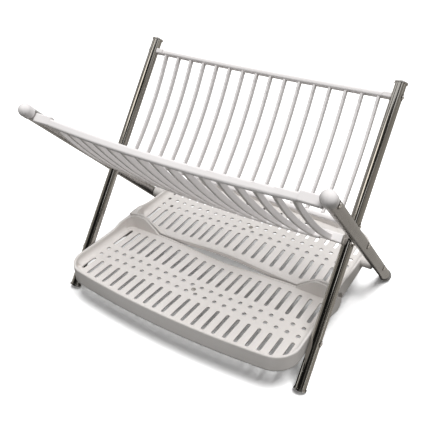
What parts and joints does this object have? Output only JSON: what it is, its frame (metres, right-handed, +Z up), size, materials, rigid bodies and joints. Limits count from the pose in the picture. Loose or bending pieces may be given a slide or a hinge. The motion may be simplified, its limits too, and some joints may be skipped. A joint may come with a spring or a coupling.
{
  "type": "folding dish rack",
  "caption": "Folding dish rack: two crossed tube frames with slatted plate racks over two hinged, perforated drip trays.",
  "frame": {"origin": "centre of the footprint, on the floor under the joint between the trays", "axes": "+X across the rack to the right seen from the front, -Y to the front, +Z up"},
  "size_m": [0.466, 0.3423, 0.3552],
  "materials": {
    "chrome_tube": "polished",
    "grey_tube": "polished",
    "dark_chrome_cap": "smooth",
    "grey_plastic": "smooth",
    "white_plastic": "smooth",
    "tray_plastic": "smooth",
    "rivet_steel": "polished"
  },
  "bodies": {
    "back_frame": {"back_rack_bottom_rail": "white_plastic", "back_rack_bottom_rivet_left": "rivet_steel", "back_rack_bottom_rivet_right": "rivet_steel", "back_rack_bottom_socket_left": "white_plastic", "back_rack_bottom_socket_right": "white_plastic", "back_rack_slats": "white_plastic", "back_rack_top_rail": "white_plastic", "back_rack_top_rivet_left": "rivet_steel", "back_rack_top_rivet_right": "rivet_steel", "back_rack_top_socket_left": "white_plastic", "back_rack_top_socket_right": "white_plastic", "crossing_washer_left": "rivet_steel", "crossing_washer_right": "rivet_steel", "front_tray_rivet_left": "rivet_steel", "front_tray_rivet_right": "rivet_steel", "long_tube_cap_left": "dark_chrome_cap", "long_tube_cap_right": "dark_chrome_cap", "long_tube_foot_left": "dark_chrome_cap", "long_tube_foot_right": "dark_chrome_cap", "long_tube_left": "chrome_tube", "long_tube_right": "chrome_tube"},
    "front_frame": {"arm_ball_cap_left": "white_plastic", "arm_ball_cap_right": "white_plastic", "arm_foot_left": "grey_plastic", "arm_foot_right": "grey_plastic", "arm_tube_left": "grey_tube", "arm_tube_right": "grey_tube", "back_tray_rivet_left": "rivet_steel", "back_tray_rivet_right": "rivet_steel", "crossing_rivet_left": "rivet_steel", "crossing_rivet_right": "rivet_steel", "front_rack_bottom_rail": "white_plastic", "front_rack_bottom_socket_left": "white_plastic", "front_rack_bottom_socket_right": "white_plastic", "front_rack_rivet_left": "rivet_steel", "front_rack_rivet_right": "rivet_steel", "front_rack_slats": "white_plastic", "front_rack_top_rail": "white_plastic", "front_rack_top_socket_left": "white_plastic", "front_rack_top_socket_right": "white_plastic"},
    "front_tray": {"front_tray_deck": "tray_plastic", "front_tray_rim": "tray_plastic"},
    "back_tray": {"back_tray_deck": "tray_plastic", "back_tray_rim": "tray_plastic", "tray_hinge_pin_left": "tray_plastic", "tray_hinge_pin_right": "tray_plastic"}
  },
  "joints": [
    {"name": "frame_fold", "type": "hinge", "parent": "back_frame", "child": "front_frame", "pos_m": [0, -0.01135, 0.17273], "axis": [1, 0, 0], "range_deg": [-67.95, 0]},
    {"name": "front_tray_swing", "type": "hinge", "parent": "back_frame", "child": "front_tray", "pos_m": [0, -0.09713, 0.05807], "axis": [1, 0, 0], "range_deg": [0, 59.42]},
    {"name": "tray_joint", "type": "hinge", "parent": "front_tray", "child": "back_tray", "pos_m": [0, -0.0038, 0.0404], "axis": [1, 0, 0], "range_deg": [-183.71, 0]}
  ],
  "couplings": [
    {"joint": "front_tray_swing", "follows": "frame_fold", "ratio": -0.87447},
    {"joint": "tray_joint", "follows": "frame_fold", "ratio": 2.7036}
  ]
}
